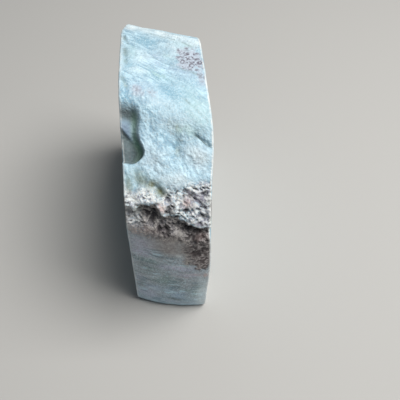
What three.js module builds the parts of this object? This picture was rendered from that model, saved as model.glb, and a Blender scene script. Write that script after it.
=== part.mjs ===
// A thick slab of rough larimar (blue pectolite), standing on its narrow edge.
//
// Two sawn faces look left (-X) and right (+X). Between them runs the natural rim: a steep front wall, a belt
// of lumpy calcite matrix at its brow, a slope with a shell-shaped hollow, a level crown, and a broken back.
// Millimetres, +Z up. The origin is the middle of the base, and the front wall looks along -Y.

import * as THREE from "three";

// ---- Driving dimensions ---------------------------------------------------------------------------------
const LEFT_FACE = -12; // X of the left sawn face
const RIGHT_FACE = 12; // X of the right sawn face
const ORIGIN_DEPTH = 39.62; // from the foot of the front wall back to the origin
const FACE_CENTRE = [42, 38]; // depth and height of the point that the face rings close on
const EDGE_BEVEL = 0.4; // worn edge between a sawn face and the rim
const INSET_REACH = 6; // how far into a sawn face a spalled edge reaches

// The rim's outline on each sawn face, as stations from the front foot, up, back and down to the heel:
// left [depth, height], right [depth, height], then how far the left and right edges are spalled inward.
const STATIONS = [
  { name: "front foot", left: [5.6, 0], right: [1.3, 0], spall: [0, 0.2] },
  { name: "wall, low", left: [3.3, 20.2], right: [-0.4, 18.2], spall: [0, 0.15] },
  { name: "wall, high", left: [2.6, 42], right: [-0.6, 38.2], spall: [0, 0.35] },
  { name: "brow", left: [2.8, 54.8], right: [0.4, 52], spall: [0.1, 1.3] },
  { name: "belt", left: [7.2, 62.4], right: [5.3, 62.6], spall: [0.25, 1.1] },
  { name: "slope", left: [14.6, 67.7], right: [10.9, 67], spall: [0.15, 0.4] },
  { name: "shoulder", left: [21, 71.6], right: [15.6, 70.2], spall: [0, 0] },
  { name: "crest", left: [27, 76], right: [20, 73], spall: [0.05, 0] },
  { name: "crown, front", left: [38, 75.8], right: [32, 73.4], spall: [0, 0] },
  { name: "crown, middle", left: [52, 73], right: [44, 73.7], spall: [0.05, 0] },
  { name: "crown, back", left: [66.7, 68.8], right: [54, 73], spall: [0.35, 0.05] },
  { name: "far corner", left: [74.5, 65.2], right: [58, 70.5], spall: [1.5, 0.2] },
  { name: "back, high", left: [78.6, 53], right: [67, 57], spall: [0, 0] },
  { name: "back, middle", left: [79.4, 31], right: [75, 33], spall: [0, 0.3] },
  { name: "back, low", left: [77.5, 9], right: [79, 11], spall: [0.3, 0] },
  { name: "heel", left: [74, 0], right: [76.5, 0], spall: [0, 0] },
  { name: "base, back", left: [51, -0.7], right: [51, -0.7], spall: [0, 0] },
  { name: "base, front", left: [25, -0.7], right: [25, -0.7], spall: [0, 0] },
];

// Places on the rim are given as [path, across]: millimetres up the rim from the front foot, and X.
const BROW_PATH = 53.5; // the front wall ends here
const FAR_PATH = 128.7; // the crown ends here
const HEEL_PATH = 199.6; // the back ends here and the base begins

const WALL_BOW = 1.3; // how far the front wall bows forward between the sawn faces
const UNEVENNESS = [
  { size: 12, rise: 0.35, moreOnBack: 0.9, seed: 1 },
  { size: 5, rise: 0.22, moreOnBack: 0.35, seed: 2 },
];
const LUMP_CELL = 2.6; // size of one lump in the matrix belt
const LUMP_HEIGHT = 1;

// How far the belt reaches up from its crest: least at the left, and more in two eased steps to the right.
const BELT_REACH = 4.5;
const BELT_REACH_STEPS = [
  { from: -3.5, to: -0.5, rise: 3.5 },
  { from: 2, to: 8, rise: 3.5 },
];

// The belt's crest line: where it starts at the left, two eased steps down to the right, and a notch.
const CREST_START = 60.3;
const CREST_STEPS = [
  { from: -4, to: -2.2, rise: -3.2 },
  { from: 0.5, to: 7, rise: -2.1 },
];
const CREST_NOTCH = { across: -9.4, half: 1.2, drop: 1.8 };

// The crest's rise, its run up the slope and down the wall, and the recess that runs below it, shallower
// in the middle.
const CREST = { rise: 1.5, fade: 4, drop: 1.7 };
const UNDERCUT = { depth: 1, below: 3.6, half: 2 };
const UNDERCUT_GAP = { across: -0.3, half: 3.2, share: 0.8 };

// The shell-shaped hollow in the left edge, and a ledge across it that ends in a slanting line.
const HOLLOW = { lip: 69.6, floorEnd: 79.8, head: 84.4, wall: -7.3, corner: 2.6, depth: 4.4 };
const HOLLOW_BOWS = [
  { at: 72.8, half: 2.1, out: 1.2 },
  { at: 81.3, half: 2.6, out: 0.6 },
];
const HOLLOW_TAPER = { from: 82.5, to: 85.5, narrower: 1.2 };
const HOLLOW_SHELF = 0.45; // share of the depth that the floor rises by towards the left edge
const HOLLOW_UPPER = { from: 74.5, to: 77.5, wider: 0.4, softer: 0.3, shallower: 0.36 };
const LEDGE = { at: 77.4, slant: 0.85, from: -11.4, edge: 0.6, rise: 1.1 };
const LEDGE_ENDS = { top: [78.2, 80.6], side: [-10.4, -7.4] };

// The crease in the right edge, which falls towards the edge: a sharp drop behind the lobe under it, and a
// slow rise on the far side to a low bulge.
const CREASE = { top: 79.1, fall: 2.6, from: 7, to: 11, lip: [-1, 0.5], depth: 1.2, fade: 1.1 };
const CREASE_ENDS = { start: [5.6, 8], edge: [9.6, 11.2], lessAtEdge: 0.5 };
const BULGE = { rise: 0.4, up: 5, half: 3, from: 3.5, to: 9 };

// Rounded swells: place, half sizes along the path and across, rise.
const SWELLS = [
  { name: "lobe under the crease", at: [74.5, 8.6], half: [2.8, 3.2], rise: 1 },
  { name: "lobe right of the hollow", at: [72.4, -2.6], half: [3.2, 3], rise: 0.7 },
  { name: "dip in the middle", at: [75.9, 1.6], half: [4, 2], rise: -0.8 },
  { name: "shoulder over the hollow", at: [83.4, -4.5], half: [3.5, 3], rise: 0.5 },
  { name: "crown swell", at: [97.4, -5.5], half: [8, 4.5], rise: 0.5 },
  { name: "crown dip", at: [111.9, -2.5], half: [6, 4], rise: -0.5 },
  { name: "foot of the slope", at: [66.9, 5], half: [2.2, 4], rise: 0.5 },
  { name: "large lump of the crest", at: [61, -5.2], half: [1.5, 2.8], rise: 0.6 },
];

// Grooves: from and to, half width, depth.
const GROOVES = [
  { name: "olive groove, left", from: [65.2, -7.6], to: [64.2, -3.8], half: 1.2, depth: 0.5 },
  { name: "olive groove, right", from: [64.2, -3.8], to: [61.3, -0.8], half: 1, depth: 0.8 },
  { name: "crown edge groove", from: [115.9, -11.2], to: [99.9, -10.3], half: 0.9, depth: 0.3 },
];

// Dark pits in and under the belt: place, half sizes, depth.
const PITS = [
  { at: [57.6, -5.3], half: [1.4, 2], depth: 1 },
  { at: [55, -5.1], half: [1.3, 1.6], depth: 1 },
  { at: [60.8, -0.6], half: [1.1, 1], depth: 0.7 },
  { at: [57.8, -0.7], half: [1.3, 1.1], depth: 1.1 },
  { at: [56.6, 1.9], half: [1, 1], depth: 0.8 },
  { at: [58.4, 4.1], half: [1, 1], depth: 0.8 },
  { at: [62, 4.6], half: [1, 1.2], depth: 0.6 },
  { at: [57, 8.7], half: [1, 1.6], depth: 1.2 },
  { at: [53.4, 3.9], half: [1.1, 1.3], depth: 1 },
  { at: [53.4, 7.6], half: [1.1, 2.4], depth: 1.5 },
  { at: [51.9, -2.2], half: [1.9, 1.3], depth: 1 },
];

// A patch of small round pits, right of the front wall: middle and half sizes.
const ROUND_PIT = { cell: 2.4, edge: 0.55, floor: 0.2, depth: 0.45 };
const ROUND_PIT_PATCH = { at: [42.5, 8.3], half: [7.5, 3.6] };

// Spacing of the mesh: columns along the rim in zones, rows across it, rings in each sawn face.
const COLUMN_ZONES = [
  { to: 36, step: 2.6 },
  { to: 86, step: 0.95 },
  { to: 130, step: 2.1 },
  { to: HEEL_PATH, step: 3 },
  { to: Infinity, step: 5 },
];
const RIM_ROWS = 26;
const FACE_RINGS = [0.035, 0.13, 0.36, 0.66]; // share of the way from the edge to the face's centre

// ---- Small helpers --------------------------------------------------------------------------------------
const mix = (a, b, t) => a + (b - a) * t;
const clamp01 = (t) => Math.min(1, Math.max(0, t));
const smoothstep = (low, high, value) => {
  const t = clamp01((value - low) / (high - low));
  return t * t * (3 - 2 * t);
};
const bell = (distance) => Math.exp(-distance * distance);

/** A repeatable number from 0 to 1 for a point of the whole-number lattice. */
function latticeValue(i, j, k, seed) {
  let h = Math.imul(i, 0x1b873593) ^ Math.imul(j, 0x85ebca6b) ^ Math.imul(k, 0xc2b2ae35) ^ seed;
  h ^= h >>> 15;
  h = Math.imul(h, 0x2c1b3c6d);
  h ^= h >>> 12;
  h = Math.imul(h, 0x297a2d39);
  h ^= h >>> 15;
  return (h >>> 0) / 4294967296;
}

/** Smooth noise from -1 to 1: lattice values blended over one cell of the given size. */
function noise(point, size, seed) {
  const cell = point.map((c) => Math.floor(c / size));
  const ease = point.map((c, axis) => smoothstep(0, 1, c / size - cell[axis]));
  let total = 0;
  for (let corner = 0; corner < 8; corner++) {
    const step = [corner & 1, (corner >> 1) & 1, corner >> 2];
    const weight = ease.reduce((w, e, axis) => w * (step[axis] ? e : 1 - e), 1);
    total += weight * latticeValue(cell[0] + step[0], cell[1] + step[1], cell[2] + step[2], seed);
  }
  return 2 * total - 1;
}

/** Distance from a point to the nearest of a set of scattered centres, one in each cell, in cells. */
function nearestCentre(point, size, seed) {
  const scaled = point.map((c) => c / size);
  const cell = scaled.map(Math.floor);
  let nearest = Infinity;
  for (let i = cell[0] - 1; i <= cell[0] + 1; i++) {
    for (let j = cell[1] - 1; j <= cell[1] + 1; j++) {
      for (let k = cell[2] - 1; k <= cell[2] + 1; k++) {
        const centre = [0, 1, 2].map((axis) => [i, j, k][axis] + latticeValue(i, j, k, seed + 7 * axis));
        nearest = Math.min(nearest, Math.hypot(...centre.map((c, axis) => c - scaled[axis])));
      }
    }
  }
  return nearest;
}

// ---- The two outlines -----------------------------------------------------------------------------------
const COUNT = STATIONS.length;
const wrap = (index) => (index + COUNT) % COUNT;
const gap = (side, index) => {
  const a = STATIONS[wrap(index)][side];
  const b = STATIONS[wrap(index + 1)][side];
  return Math.hypot(b[0] - a[0], b[1] - a[1]);
};
const SPANS = STATIONS.map((_, index) => (gap("left", index) + gap("right", index)) / 2);
const KNOTS = SPANS.reduce((sums, span) => [...sums, sums[sums.length - 1] + span], [0]);
const RIM_LENGTH = KNOTS[COUNT];

/** A closed smooth curve through all stations' values: cubic pieces whose slopes blend their neighbours'. */
function throughStations(values, path) {
  const s = ((path % RIM_LENGTH) + RIM_LENGTH) % RIM_LENGTH;
  const index = Math.min(COUNT - 1, KNOTS.findLastIndex((knot) => knot <= s));
  const span = SPANS[index];
  const t = (s - KNOTS[index]) / span;
  const slope = (i) => {
    const before = SPANS[wrap(i - 1)];
    const after = SPANS[wrap(i)];
    const rise = (values[wrap(i)] - values[wrap(i - 1)]) / before;
    const next = (values[wrap(i + 1)] - values[wrap(i)]) / after;
    return (rise * after + next * before) / (before + after);
  };
  const start = values[index];
  const end = values[wrap(index + 1)];
  const t2 = t * t;
  const t3 = t2 * t;
  return (
    (2 * t3 - 3 * t2 + 1) * start +
    (t3 - 2 * t2 + t) * slope(index) * span +
    (3 * t2 - 2 * t3) * end +
    (t3 - t2) * slope(index + 1) * span
  );
}

const column = (side, axis) => STATIONS.map((station) => station[side][axis]);
const OUTLINE = {
  left: [column("left", 0), column("left", 1)],
  right: [column("right", 0), column("right", 1)],
};
const SPALL = [column("spall", 0), column("spall", 1)];
const spallAt = (edge, path) => Math.max(0, throughStations(SPALL[edge], path));
const outlineAt = (side, path) => OUTLINE[side].map((values) => throughStations(values, path));

/** Depth and height of the rim's plain surface, and its outward direction in that plane. */
function rimFrame(path, share) {
  const between = (s) => {
    const left = outlineAt("left", s);
    const right = outlineAt("right", s);
    return [mix(left[0], right[0], share), mix(left[1], right[1], share)];
  };
  const reach = 0.8;
  const before = between(path - reach);
  const after = between(path + reach);
  const along = [after[0] - before[0], after[1] - before[1]];
  const length = Math.hypot(...along);
  return { at: between(path), outward: [-along[1] / length, along[0] / length] };
}

// ---- Relief of the rim ----------------------------------------------------------------------------------
/** A start value with eased steps added on the way to the right. */
function steppedAcross(start, steps, across) {
  return steps.reduce((sum, { from, to, rise }) => sum + rise * smoothstep(from, to, across), start);
}

/** Where the belt's crest runs, as a path length. */
function crestPath(across) {
  const notch = CREST_NOTCH.drop * bell((across - CREST_NOTCH.across) / CREST_NOTCH.half);
  return steppedAcross(CREST_START, CREST_STEPS, across) - notch;
}

/** Rise of the crest over the plain rim, less the recess on its wall side; up is the path past the crest. */
function crestForm(up, across) {
  const rise = up > 0 ? bell(up / CREST.fade) : 1 - smoothstep(0, CREST.drop, -up);
  const gapped = 1 - UNDERCUT_GAP.share * bell((across - UNDERCUT_GAP.across) / UNDERCUT_GAP.half);
  return CREST.rise * rise - UNDERCUT.depth * gapped * bell((up + UNDERCUT.below) / UNDERCUT.half);
}

/** How lumpy the matrix belt is: wholly so above the crest, less so below it, with wavering borders. */
function lumpiness(across, up, point) {
  const waver = 1.2 * noise(point, 4, 11);
  const reach = steppedAcross(BELT_REACH, BELT_REACH_STEPS, across);
  const above = smoothstep(-0.3, 0.6, up) * (1 - smoothstep(reach - 2.5, reach + 1, up + waver));
  const below = smoothstep(-9, -6.5, up + waver) * (1 - smoothstep(-0.6, 0.2, up));
  return Math.max(above, 0.75 * below);
}

/** Distance from the middle of an oval place, in its half sizes. */
const ovalDistance = (place, path, across) =>
  Math.hypot((path - place.at[0]) / place.half[0], (across - place.at[1]) / place.half[1]);

function grooveDepth(groove, path, across) {
  const run = [groove.to[0] - groove.from[0], groove.to[1] - groove.from[1]];
  const rel = [path - groove.from[0], across - groove.from[1]];
  const t = clamp01((rel[0] * run[0] + rel[1] * run[1]) / (run[0] ** 2 + run[1] ** 2));
  return groove.depth * bell(Math.hypot(rel[0] - t * run[0], rel[1] - t * run[1]) / groove.half);
}

/** Depth of the left hollow: a gully under a curved right wall, a floor that rises to the left edge, a lower
 * lip round a corner, a steep head, and the ledge that stands in it. */
function hollowDepth(path, across) {
  const bow = HOLLOW_BOWS.reduce((sum, { at, half, out }) => sum + out * bell((path - at) / half), 0);
  const taper = HOLLOW_TAPER.narrower * smoothstep(HOLLOW_TAPER.from, HOLLOW_TAPER.to, path);
  const wall = HOLLOW.wall + bow - taper;
  const upper = smoothstep(HOLLOW_UPPER.from, HOLLOW_UPPER.to, path);
  const corner = HOLLOW.corner * (1 + HOLLOW_UPPER.wider * upper);
  const pastWall = Math.max(across - wall + corner, 0) / corner;
  const pastLip = Math.max(HOLLOW.lip + HOLLOW.corner - path, 0) / HOLLOW.corner;
  const inside = 1 - smoothstep(0.7 - HOLLOW_UPPER.softer * upper, 1.1, Math.hypot(pastWall, pastLip));
  const shelf = 1 - HOLLOW_SHELF * smoothstep(1, 5, wall - across);
  const floor = HOLLOW.depth * (1 - HOLLOW_UPPER.shallower * upper) * shelf;
  const ridge = LEDGE.at - LEDGE.slant * (across - LEDGE.from);
  const aboveRidge = smoothstep(ridge - LEDGE.edge, ridge + LEDGE.edge, path);
  const onLedge = aboveRidge * (1 - smoothstep(...LEDGE_ENDS.top, path));
  const ledge = onLedge * (1 - smoothstep(...LEDGE_ENDS.side, across)) * inside;
  return inside * (1 - smoothstep(HOLLOW.floorEnd, HOLLOW.head, path)) * floor - LEDGE.rise * ledge;
}

/** Height of the right crease: a sharp drop, a slow rise again, and the low bulge over it. */
function creaseForm(path, across) {
  const up = path - CREASE.top + CREASE.fall * smoothstep(CREASE.from, CREASE.to, across);
  const nearEdge = CREASE_ENDS.lessAtEdge * smoothstep(...CREASE_ENDS.edge, across);
  const amount = smoothstep(...CREASE_ENDS.start, across) * (1 - nearEdge);
  const valley = smoothstep(...CREASE.lip, up) * Math.exp(-Math.max(up, 0) / CREASE.fade);
  const bulge = bell((up - BULGE.up) / BULGE.half) * smoothstep(BULGE.from, BULGE.to, across);
  return BULGE.rise * bulge - CREASE.depth * amount * valley;
}

/** Outward displacement of the rim, from its broad swell down to single pits. */
function relief(path, across, share, point) {
  if (path > HEEL_PATH) return 0;
  const pastCrown = smoothstep(FAR_PATH - 2, FAR_PATH + 6, path);
  const onBack = pastCrown * (1 - smoothstep(HEEL_PATH - 8, HEEL_PATH, path));
  const onWall = 1 - smoothstep(BROW_PATH - 4, BROW_PATH + 4, path);
  const backBelt = 0.7 * onBack * smoothstep(0.1, 0.5, noise(point, 14, 4));

  let height = WALL_BOW * 4 * share * (1 - share) * Math.max(onWall, 0.6 * onBack);
  for (const { size, rise, moreOnBack, seed } of UNEVENNESS) {
    height += (rise + moreOnBack * onBack) * noise(point, size, seed);
  }

  const up = path - crestPath(across);
  const lump = LUMP_HEIGHT * (0.62 - nearestCentre(point, LUMP_CELL, 3));
  height += crestForm(up, across) + Math.max(lumpiness(across, up, point), backBelt) * lump;
  height += creaseForm(path, across) - hollowDepth(path, across);

  for (const swell of SWELLS) height += swell.rise * bell(ovalDistance(swell, path, across));
  for (const groove of GROOVES) height -= grooveDepth(groove, path, across);
  for (const pit of PITS) height -= pit.depth * bell(ovalDistance(pit, path, across) ** 1.5);
  const inPatch = bell(ovalDistance(ROUND_PIT_PATCH, path, across) ** 2);
  const open = 1 - smoothstep(ROUND_PIT.floor, ROUND_PIT.edge, nearestCentre(point, ROUND_PIT.cell, 5));
  height -= ROUND_PIT.depth * inPatch * open;
  const nearBase = smoothstep(0, 3, path) * (1 - smoothstep(HEEL_PATH - 4, HEEL_PATH, path));
  return height * nearBase;
}

// ---- Points of the surface ------------------------------------------------------------------------------
/** A point of the rim: share runs from 0 at the left edge to 1 at the right edge. */
function rimPoint(path, share) {
  const left = LEFT_FACE + spallAt(0, path) + EDGE_BEVEL;
  const right = RIGHT_FACE - spallAt(1, path) - EDGE_BEVEL;
  const across = mix(left, right, share);
  const { at, outward } = rimFrame(path, share);
  const height = relief(path, across, share, [across, at[0], at[1]]);
  return [across, at[0] + outward[0] * height, Math.max(0, at[1] + outward[1] * height)];
}

/** A point of a sawn face: inward is the share of the way from its edge to its centre. */
function facePoint(side, path, inward) {
  const isLeft = side === "left";
  const [, depth, height] = rimPoint(path, isLeft ? 0 : 1);
  const toCentre = [FACE_CENTRE[0] - depth, FACE_CENTRE[1] - height];
  const reach = Math.hypot(...toCentre);
  const travel = EDGE_BEVEL + inward * (reach - EDGE_BEVEL);
  const spall = spallAt(isLeft ? 0 : 1, path) * Math.exp(-(travel - EDGE_BEVEL) / INSET_REACH);
  const across = isLeft ? LEFT_FACE + spall : RIGHT_FACE - spall;
  return [across, depth + (toCentre[0] / reach) * travel, height + (toCentre[1] / reach) * travel];
}

function columnPaths() {
  const paths = [];
  let path = 0;
  for (const zone of COLUMN_ZONES) {
    const end = Math.min(zone.to, RIM_LENGTH);
    const steps = Math.round((end - path) / zone.step);
    for (let i = 0; i < steps; i++) paths.push(path + ((end - path) * i) / steps);
    path = end;
  }
  return paths;
}

/** The whole closed surface: rings round the slab, from the left face's centre to the right one's. */
function slabGeometry() {
  const paths = columnPaths();
  const inwards = [...FACE_RINGS].reverse();
  const shares = Array.from({ length: RIM_ROWS }, (_, row) => row / (RIM_ROWS - 1));
  const rings = [
    ...inwards.map((t) => paths.map((path) => facePoint("left", path, t))),
    paths.map((path) => facePoint("left", path, 0)),
    ...shares.map((share) => paths.map((path) => rimPoint(path, share))),
    paths.map((path) => facePoint("right", path, 0)),
    ...FACE_RINGS.map((t) => paths.map((path) => facePoint("right", path, t))),
  ];
  const points = [[LEFT_FACE, ...FACE_CENTRE], ...rings.flat(), [RIGHT_FACE, ...FACE_CENTRE]];
  const columns = paths.length;
  const at = (ring, i) => 1 + ring * columns + (i % columns);
  const lastRing = rings.length - 1;
  const faces = [];
  for (let i = 0; i < columns; i++) {
    faces.push([0, at(0, i), at(0, i + 1)]);
    for (let ring = 0; ring < lastRing; ring++) {
      faces.push([at(ring, i), at(ring + 1, i), at(ring + 1, i + 1)]);
      faces.push([at(ring, i), at(ring + 1, i + 1), at(ring, i + 1)]);
    }
    faces.push([at(lastRing, i + 1), at(lastRing, i), points.length - 1]);
  }
  const geometry = new THREE.BufferGeometry();
  geometry.setAttribute("position", new THREE.Float32BufferAttribute(points.flat(), 3));
  geometry.setIndex(faces.flat());
  geometry.translate(0, -ORIGIN_DEPTH, 0);
  geometry.computeVertexNormals();
  return geometry;
}

// ---- The part -------------------------------------------------------------------------------------------
const larimar = new THREE.MeshStandardMaterial({ color: 0xa9cfdc, roughness: 0.6, metalness: 0 });
const slab = new THREE.Mesh(slabGeometry(), larimar);
slab.name = "larimar_slab";

const part = new THREE.Group();
part.add(slab);

export default part;
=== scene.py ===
"""The rough larimar slab's fine surface, its stone finishes, the floor, the light and the camera."""

import math

import bpy
import numpy as np
from mathutils import Matrix, Vector


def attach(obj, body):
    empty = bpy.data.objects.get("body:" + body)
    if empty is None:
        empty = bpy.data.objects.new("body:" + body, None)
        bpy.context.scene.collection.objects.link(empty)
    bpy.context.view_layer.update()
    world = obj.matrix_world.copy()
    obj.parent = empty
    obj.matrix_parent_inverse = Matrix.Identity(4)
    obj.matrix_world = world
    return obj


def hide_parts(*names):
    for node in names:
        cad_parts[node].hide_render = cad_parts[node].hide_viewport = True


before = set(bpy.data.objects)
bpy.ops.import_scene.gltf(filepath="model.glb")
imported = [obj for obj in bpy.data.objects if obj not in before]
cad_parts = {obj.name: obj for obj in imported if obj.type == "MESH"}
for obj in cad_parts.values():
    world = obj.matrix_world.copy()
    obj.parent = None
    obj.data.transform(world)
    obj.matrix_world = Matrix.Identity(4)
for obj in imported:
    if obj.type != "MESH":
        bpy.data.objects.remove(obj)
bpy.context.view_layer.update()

MM = 0.001  # the slab's sizes are written in millimetres, and the scene is in metres

# ---- The slab's sizes, in millimetres ----
LEFT_FACE = -12.0  # X of the left sawn face
RIGHT_FACE = 12.0  # X of the right sawn face
ORIGIN_DEPTH = 39.62  # from the foot of the front wall back to the origin
FACE_CENTRE = (42.0, 38.0)  # depth and height of the point that the face rings close on
EDGE_BEVEL = 0.4  # worn edge between a sawn face and the rim
INSET_REACH = 6.0  # how far into a sawn face a spalled edge reaches

# The rim's outline on each sawn face, from the front foot up, back and down to the heel:
# left depth and height, right depth and height, how far the left and the right edge are spalled inward.
STATIONS = np.array([
    (5.6, 0.0, 1.3, 0.0, 0.0, 0.2),  # front foot
    (3.3, 20.2, -0.4, 18.2, 0.0, 0.15),  # wall, low
    (2.6, 42.0, -0.6, 38.2, 0.0, 0.35),  # wall, high
    (2.8, 54.8, 0.4, 52.0, 0.1, 1.3),  # brow
    (7.2, 62.4, 5.3, 62.6, 0.25, 1.1),  # belt
    (14.6, 67.7, 10.9, 67.0, 0.15, 0.4),  # slope
    (21.0, 71.6, 15.6, 70.2, 0.0, 0.0),  # shoulder
    (27.0, 76.0, 20.0, 73.0, 0.05, 0.0),  # crest
    (38.0, 75.8, 32.0, 73.4, 0.0, 0.0),  # crown, front
    (52.0, 73.0, 44.0, 73.7, 0.05, 0.0),  # crown, middle
    (66.7, 68.8, 54.0, 73.0, 0.35, 0.05),  # crown, back
    (74.5, 65.2, 58.0, 70.5, 1.5, 0.2),  # far corner
    (78.6, 53.0, 67.0, 57.0, 0.0, 0.0),  # back, high
    (79.4, 31.0, 75.0, 33.0, 0.0, 0.3),  # back, middle
    (77.5, 9.0, 79.0, 11.0, 0.3, 0.0),  # back, low
    (74.0, 0.0, 76.5, 0.0, 0.0, 0.0),  # heel
    (51.0, -0.7, 51.0, -0.7, 0.0, 0.0),  # base, back
    (25.0, -0.7, 25.0, -0.7, 0.0, 0.0),  # base, front
])

# Places on the rim are (path, across): millimetres up the rim from the front foot, and X.
BROW_PATH = 53.5  # the front wall ends here
FAR_PATH = 128.7  # the crown ends here
HEEL_PATH = 199.6  # the back ends here and the base begins

WALL_BOW, BACK_BOW = 1.3, 0.78  # how far the front wall and the back bow out between the sawn faces
UNEVENNESS = [(12.0, 1, 0.35, 0.9), (5.0, 2, 0.22, 0.35)]  # noise size, seed, height, more on the back
GRAIN_SIZE, GRAIN_HEIGHT, LUMP_GRAIN = 1.5, 0.07, 0.08  # grain all over, and further height on the lumps
STREAK_HEIGHT, SLOPE_STREAKS = 0.19, 0.45  # fine lines on the crown, and their share of that on the slope
FROST_SIZE, FROST_HEIGHT = 1.3, 0.2  # crystals above the belt

# The matrix belt across the front, along its crest. Steps are (from, to, rise) and bumps (middle, half,
# rise).
CREST_LEVEL = 60.3  # path of the crest at the left
CREST_STEPS = [(-4.0, -2.2, -3.2), (0.5, 7.0, -2.1)]
CREST_NOTCHES = [(-9.4, 1.2, -1.8)]
CREST_RISE, CREST_FADE, CREST_DROP = 1.5, 4.0, 1.7  # rise of the crest, its run up and down from there
UNDERCUT_DEPTH, UNDERCUT_BELOW, UNDERCUT_HALF = 1.0, 3.6, 2.0  # the recess under the crest
UNDERCUT_SHALLOWS = [(-0.3, 3.2, 0.8)]  # where the recess is shallow, and by what share
BELT_REACH = 4.5  # how far up the slope from the crest the lumps reach
BELT_WIDENINGS = [(-3.5, -0.5, 3.5), (2.0, 8.0, 3.5)]
LUMP_CELL, LUMP_HEIGHT, LUMP_LEVEL = 2.6, 0.9, 0.62  # a lump's size, its height, the cell radius left flat
KNOB_SIZE, KNOB_HEIGHT, KNOB_LEVEL = 0.72, 0.82, 0.35  # the froth on the lumps, and its value left flat
KNOB_STRETCH, KNOB_SLANT, KNOB_SCALE = 1.6, 0.8, 1.28  # a cell's length, its slant and the scale of that
SMALL_KNOBS = 0.5  # how much lower the froth is on the left crest

# The shell-shaped hollow in the left edge.
HOLLOW_LIP, HOLLOW_FLOOR_END, HOLLOW_HEAD = 69.6, 79.8, 84.4
HOLLOW_WALL, HOLLOW_DEPTH, HOLLOW_CORNER = -7.3, 4.4, 2.6
HOLLOW_UPPER = (74.5, 77.5)  # path where its wider and shallower upper part begins
HOLLOW_BULGES = [(72.8, 2.1, 1.2), (81.3, 2.6, 0.6)]  # its right wall swings out here
HOLLOW_TURNS = [(82.5, 85.5, -1.2)]  # and back to the edge at the head
GULLY_OUT, GULLY_HALF = 1.0, 0.9  # a green gully left of the right wall, its green painted lighter as painted light in the wall's shadow
LEDGE_RISE = 1.1  # a pale ledge across the hollow, above a slanting line
LEDGE_PATH, LEDGE_SLOPE, LEDGE_X = 77.4, -0.85, -11.4  # path and slope of that line, at this X
LEDGE_FADES = [(-10.4, -8.6, 0.7), (-8.6, -7.4, 0.3)]

# The crease in the right edge, with a bulge over it.
CREASE_TOP, CREASE_FALL, CREASE_FROM, CREASE_TO = 79.1, 2.6, 7.0, 11.0
# The last of these is the half width of the painted shade along the crease line.
CREASE_DEPTH, CREASE_FADE, CREASE_SHADE_HALF = 1.1, 0.7, 0.45
BULGE_RISE, BULGE_ABOVE, BULGE_HALF = 0.4, 5.0, 3.0

# Rounded swells: path, across, half sizes, rise.
SWELLS = [
    (74.5, 8.6, 2.8, 3.2, 1.0),  # lobe under the crease
    (72.4, -2.6, 3.2, 3.0, 0.7),  # lobe right of the hollow
    (75.9, 1.6, 4.0, 2.0, -0.8),  # dip in the middle
    (83.4, -4.5, 3.5, 3.0, 0.5),  # shoulder over the hollow
    (97.4, -5.5, 8.0, 4.5, 0.5),  # crown swell
    (111.9, -2.5, 6.0, 4.0, -0.5),  # crown dip
    (66.9, 5.0, 2.2, 4.0, 0.5),  # foot of the slope
    (61.0, -5.2, 1.5, 2.8, 0.6),  # large lump of the crest
]

# Grooves: path and across of both ends, half width, depth, strength of the dark line in it, which is
# grey-green and painted shade in the groove.
GROOVES = [
    (65.2, -7.6, 64.2, -3.8, 1.2, 0.5, 0.0),  # olive groove, left
    (64.2, -3.8, 61.3, -0.8, 0.9, 0.8, 0.0),  # olive groove, right
    (115.9, -11.2, 112.1, -10.0, 0.5, 0.4, 1.0),  # crown's left edge, upper
    (108.4, -10.5, 99.9, -10.3, 0.7, 0.25, 1.0),  # crown's left edge, middle
    (93.4, -11.4, 88.4, -9.9, 0.6, 0.3, 1.0),  # crown's left edge, lower
    (77.7, 10.2, 76.2, 10.8, 0.4, 0.5, 0.0),  # end of the crease
    (122.2, -2.9, 116.0, 9.0, 0.4, 0.12, 1.0),  # line across the crown, far
    (106.1, -2.8, 100.5, 10.5, 0.4, 0.14, 1.0),  # line across the crown, middle
    (89.8, 4.8, 84.0, 10.5, 0.4, 0.15, 1.0),  # line across the crown, near
]

# Pits in and under the belt, painted near black as their shade: path, across, half sizes, depth.
PITS = [
    (58.6, -6.2, 0.8, 1.0, 0.8), (57.3, -4.4, 0.9, 0.8, 0.9), (55.6, -5.4, 1.0, 1.3, 0.9),
    (54.4, -4.7, 1.1, 0.9, 0.9), (56.0, -7.3, 0.9, 0.9, 0.7), (60.8, -0.6, 0.8, 0.6, 0.6),
    (57.5, -0.9, 1.1, 0.7, 1.0), (58.9, 0.2, 0.8, 0.7, 0.7), (56.6, 1.9, 0.6, 0.8, 0.7),
    (58.4, 4.1, 0.6, 0.7, 0.7), (61.8, 3.4, 0.5, 0.5, 0.4), (62.1, 5.2, 0.8, 0.8, 0.6),
    (57.0, 8.7, 0.7, 1.3, 1.2), (53.9, 3.7, 0.6, 0.9, 0.8), (52.4, 4.4, 0.6, 1.6, 1.0),
    (53.3, 6.8, 0.9, 1.3, 1.5), (53.6, 9.2, 0.7, 1.0, 1.2), (51.6, 7.2, 0.6, 1.4, 0.7),
    (51.9, -3.2, 1.4, 0.5, 0.8), (51.9, -1.3, 1.6, 0.6, 0.9), (53.3, 0.5, 0.6, 0.6, 0.6),
]

# Patches of small round gas fillings that show as dark rings: path, across, half sizes, strength.
RING_PATCHES = [
    (108.2, 8.2, 6.3, 4.2, 1.0),  # right of the crown
    (100.5, 10.6, 3.0, 1.6, 0.6),  # crown's right edge
    (87.8, -7.0, 1.9, 1.9, 0.5),  # left of the crown
    (88.6, -3.4, 1.4, 1.8, 0.4),  # right of those
]

# Patches of open round holes: path, across, half sizes, strength.
HOLE_PATCHES = [
    (42.5, 8.3, 7.5, 3.6, 1.0),  # right of the front wall
    (34.8, 8.9, 4.2, 2.2, 1.0),  # its lower tip
    (49.5, 7.5, 2.0, 3.2, 1.0),  # its top, under the belt
]
HOLE_CELL, HOLE_DEPTH = 2.4, 0.45  # size of one hole's cell, and its depth

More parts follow.
